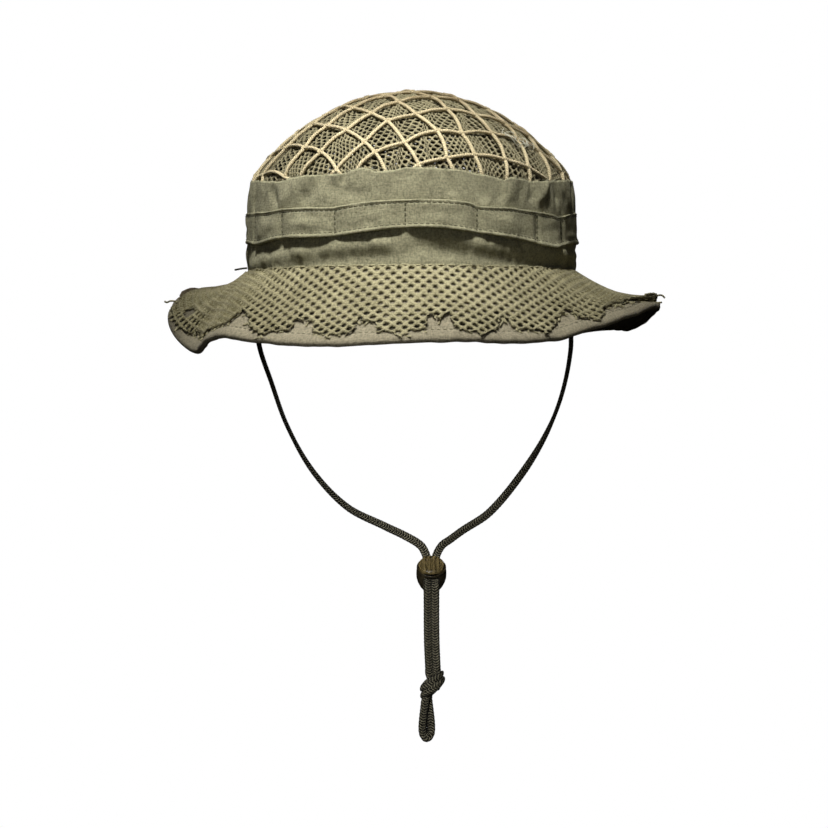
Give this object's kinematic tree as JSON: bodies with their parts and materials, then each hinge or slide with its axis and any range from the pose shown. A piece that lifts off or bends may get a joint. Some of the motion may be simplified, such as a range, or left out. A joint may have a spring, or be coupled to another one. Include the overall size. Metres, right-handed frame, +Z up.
{
  "type": "boonie hat",
  "caption": "Soft wide-brimmed hat with a net-covered mesh crown, a band of foliage loops and a chin cord tightened by a sprung cord lock.",
  "frame": {"origin": "middle of the head opening, level with the seam between crown and brim", "axes": "+Z up towards the top of the crown, -Y the front of the hat, +X the viewer's right when facing the front"},
  "size_m": [0.2617, 0.2687, 0.346],
  "materials": {
    "band_cloth": "matte plain-woven cotton",
    "brim_cloth": "matte plain-woven cotton",
    "mesh_cloth": "perforated knitted mesh",
    "net_string": "twisted and knotted string",
    "sweatband_cloth": "matte cotton",
    "thread": "sewing thread",
    "cord_braid": "flat braid",
    "lock_plastic": "satin moulded plastic",
    "spring_steel": "drawn wire"
  },
  "bodies": {
    "hat": {"crown_mesh_cap": "mesh_cloth", "crown_net": "net_string", "crown_band": "band_cloth", "loop_band": "band_cloth", "loop_tack_01": "thread", "loop_tack_02": "thread", "loop_tack_03": "thread", "loop_tack_04": "thread", "loop_tack_05": "thread", "loop_tack_06": "thread", "loop_tack_07": "thread", "loop_tack_08": "thread", "loop_tack_09": "thread", "loop_tack_10": "thread", "loop_tack_11": "thread", "loop_tack_12": "thread", "loop_tack_13": "thread", "loop_tack_14": "thread", "loop_tack_15": "thread", "loop_tack_16": "thread", "brim_top_cloth": "brim_cloth", "brim_under_cloth": "brim_cloth", "brim_mesh": "mesh_cloth", "sweatband": "sweatband_cloth", "cord_tab_left": "sweatband_cloth", "cord_tab_right": "sweatband_cloth", "seam_thread_end": "cord_braid"},
    "chin_cord": {"chin_cord_left": "cord_braid", "chin_cord_right": "cord_braid", "chin_cord_knot": "cord_braid", "chin_cord_loop": "cord_braid"},
    "cord_lock": {"cord_lock_barrel": "lock_plastic", "cord_lock_spring": "spring_steel"},
    "lock_button": {"cord_lock_button": "lock_plastic"}
  },
  "joints": [
    {"name": "chin_cord_swing", "type": "hinge", "parent": "hat", "child": "chin_cord", "pos_m": [0, 0, -0.001], "axis": [1, 0, 0], "range_deg": [-60, 60]},
    {"name": "lock_slide", "type": "slide", "parent": "chin_cord", "child": "cord_lock", "axis": [0, 0, 1], "range_m": [-0.036, 0.045], "deforming": ["chin_cord_left", "chin_cord_right"]},
    {"name": "button_press", "type": "slide", "parent": "cord_lock", "child": "lock_button", "axis": [0, 0.6428, -0.766], "range_m": [0, 0.002], "stiffness_N_per_m": 1000, "springref_m": -0.001, "deforming": ["cord_lock_spring"]}
  ]
}
